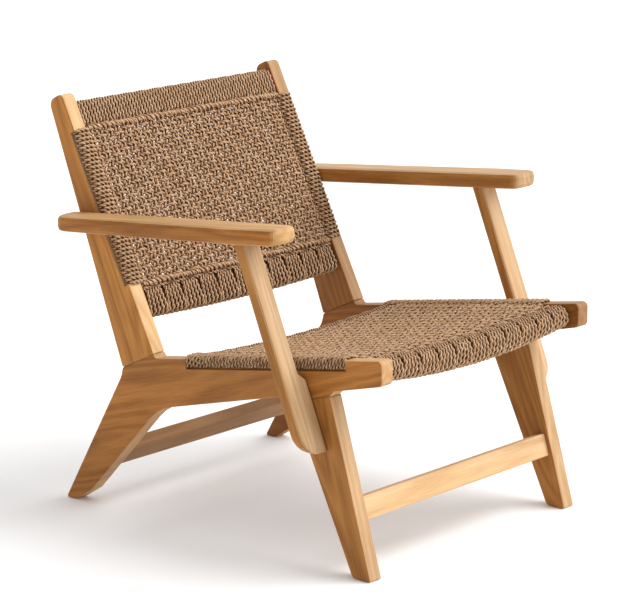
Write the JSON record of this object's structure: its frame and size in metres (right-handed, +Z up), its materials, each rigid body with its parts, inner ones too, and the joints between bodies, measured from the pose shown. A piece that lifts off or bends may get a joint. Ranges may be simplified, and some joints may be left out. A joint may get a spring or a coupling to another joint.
{
  "type": "lounge armchair",
  "caption": "Low wooden lounge armchair with raked woven-cord seat and back, splayed legs, flat armrests on slanted posts, and cross stretchers.",
  "frame": {"origin": "on the floor, in the middle of the bounding box in plan", "axes": "+Z up; the chair faces -Y; +X is the sitter's left"},
  "size_m": [0.7396, 0.7886, 0.7589],
  "materials": {
    "oiled_teak": "satin oiled, straight fine grain",
    "twisted_cord": "matt two-ply twisted cord",
    "beech_dowel": "unfinished"
  },
  "bodies": {
    "root": {"arm_post_dowel_left_1": "beech_dowel", "arm_post_dowel_left_2": "beech_dowel", "arm_post_dowel_right_1": "beech_dowel", "arm_post_dowel_right_2": "beech_dowel", "arm_post_left": "oiled_teak", "arm_post_right": "oiled_teak", "armrest_dowel_left_1": "beech_dowel", "armrest_dowel_left_2": "beech_dowel", "armrest_dowel_right_1": "beech_dowel", "armrest_dowel_right_2": "beech_dowel", "armrest_left": "oiled_teak", "armrest_rear_dowel_left_1": "beech_dowel", "armrest_rear_dowel_left_2": "beech_dowel", "armrest_rear_dowel_right_1": "beech_dowel", "armrest_rear_dowel_right_2": "beech_dowel", "armrest_right": "oiled_teak", "back_bottom_rail": "oiled_teak", "back_bottom_wrap": "twisted_cord", "back_stile_left": "oiled_teak", "back_stile_right": "oiled_teak", "back_top_rail": "oiled_teak", "back_top_wrap": "twisted_cord", "back_weave": "twisted_cord", "front_leg_left": "oiled_teak", "front_leg_right": "oiled_teak", "front_stretcher": "oiled_teak", "knuckle_dowel_left_1": "beech_dowel", "knuckle_dowel_left_2": "beech_dowel", "knuckle_dowel_right_1": "beech_dowel", "knuckle_dowel_right_2": "beech_dowel", "leg_dowel_left_1": "beech_dowel", "leg_dowel_left_2": "beech_dowel", "leg_dowel_right_1": "beech_dowel", "leg_dowel_right_2": "beech_dowel", "rear_stretcher": "oiled_teak", "seat_front_rail": "oiled_teak", "seat_front_wrap": "twisted_cord", "seat_rear_rail": "oiled_teak", "seat_rear_wrap": "twisted_cord", "seat_side_wrap_left": "twisted_cord", "seat_side_wrap_right": "twisted_cord", "seat_weave": "twisted_cord", "side_frame_left": "oiled_teak", "side_frame_right": "oiled_teak", "stile_wrap_left": "twisted_cord", "stile_wrap_right": "twisted_cord"}
  },
  "joints": []
}
